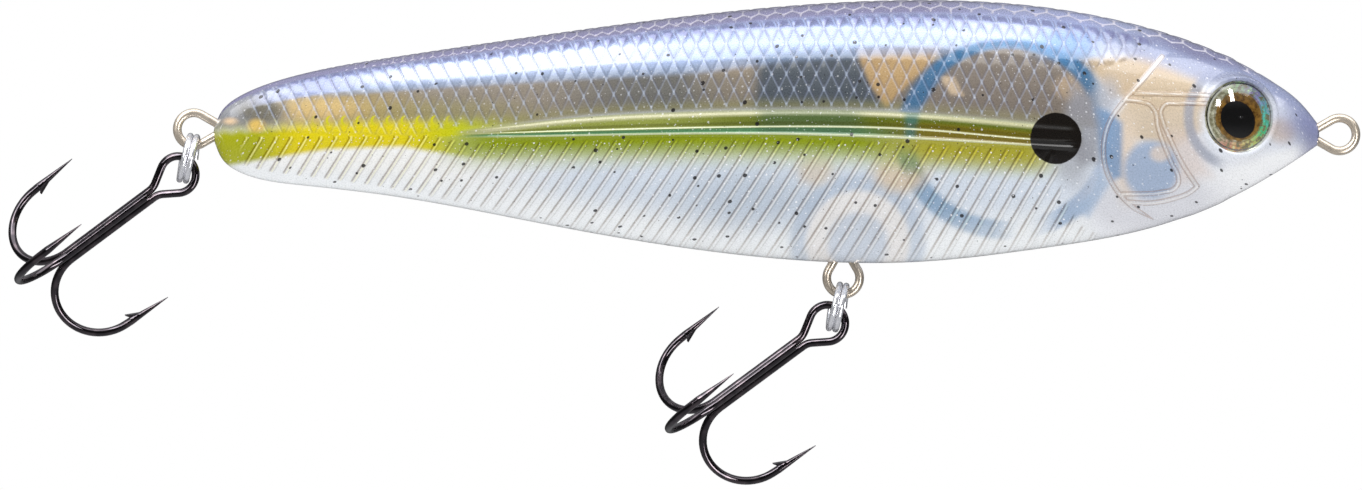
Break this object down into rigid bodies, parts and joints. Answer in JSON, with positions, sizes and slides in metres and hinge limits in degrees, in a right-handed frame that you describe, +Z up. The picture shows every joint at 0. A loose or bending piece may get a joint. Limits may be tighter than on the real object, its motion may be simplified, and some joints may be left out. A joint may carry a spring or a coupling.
{
  "type": "fishing lure",
  "caption": "Hard two-part moulded fishing lure shaped like a baitfish, with wire eyes in its seam and treble hooks hung on split rings.",
  "frame": {"origin": "centre of the ring of the wire line tie at the nose", "axes": "+X forward along the lure, out of the nose; +Z up toward its back; +Y toward its left side"},
  "size_m": [0.154, 0.0194, 0.0551],
  "materials": {
    "body_skin": "clear moulded plastic sprayed inside and out: lilac back, grey flank, chartreuse stripe, pearl belly, under gloss",
    "steel_wire": "drawn stainless wire",
    "split_ring_steel": "bright nickel plate",
    "black_nickel": "glossy black nickel plate",
    "eye_foil": "printed holographic foil",
    "eye_lens": "clear cast dome",
    "ballast": "plain steel slug",
    "rattle_steel": "polished bearing ball"
  },
  "bodies": {
    "lure_body": {"right_body_shell": "body_skin", "left_body_shell": "body_skin", "nose_line_tie": "steel_wire", "belly_hook_hanger": "steel_wire", "tail_hook_hanger": "steel_wire", "right_eye_foil": "eye_foil", "left_eye_foil": "eye_foil", "right_eye_dome": "eye_lens", "left_eye_dome": "eye_lens", "head_ballast_weight": "ballast", "middle_ballast_weight": "ballast", "tail_ballast_weight": "ballast"},
    "rattle": {"rattle_ball": "rattle_steel"},
    "belly_ring": {"belly_split_ring": "split_ring_steel"},
    "belly_treble": {"belly_treble_double": "black_nickel", "belly_treble_single": "black_nickel"},
    "tail_ring": {"tail_split_ring": "split_ring_steel"},
    "tail_treble": {"tail_treble_double": "black_nickel", "tail_treble_single": "black_nickel"}
  },
  "joints": [
    {"name": "rattle_roll", "type": "hinge", "parent": "lure_body", "child": "rattle", "pos_m": [-0.0378, 0, -0.0006], "axis": [0, 1, 0], "range_deg": [-75, 75]},
    {"name": "belly_ring_swing", "type": "hinge", "parent": "lure_body", "child": "belly_ring", "pos_m": [-0.0564, 0, -0.01817], "axis": [1, 0, 0], "range_deg": [-40, 40]},
    {"name": "belly_treble_swing", "type": "hinge", "parent": "belly_ring", "child": "belly_treble", "pos_m": [-0.05765, 0, -0.02209], "axis": [0, 1, 0], "range_deg": [-110, 10]},
    {"name": "tail_ring_swing", "type": "hinge", "parent": "lure_body", "child": "tail_ring", "pos_m": [-0.1302, 0, -0.00127], "axis": [1, 0, 0], "range_deg": [-45, 45]},
    {"name": "tail_treble_swing", "type": "hinge", "parent": "tail_ring", "child": "tail_treble", "pos_m": [-0.13145, 0, -0.00519], "axis": [0, 1, 0], "range_deg": [-100, 45]}
  ]
}
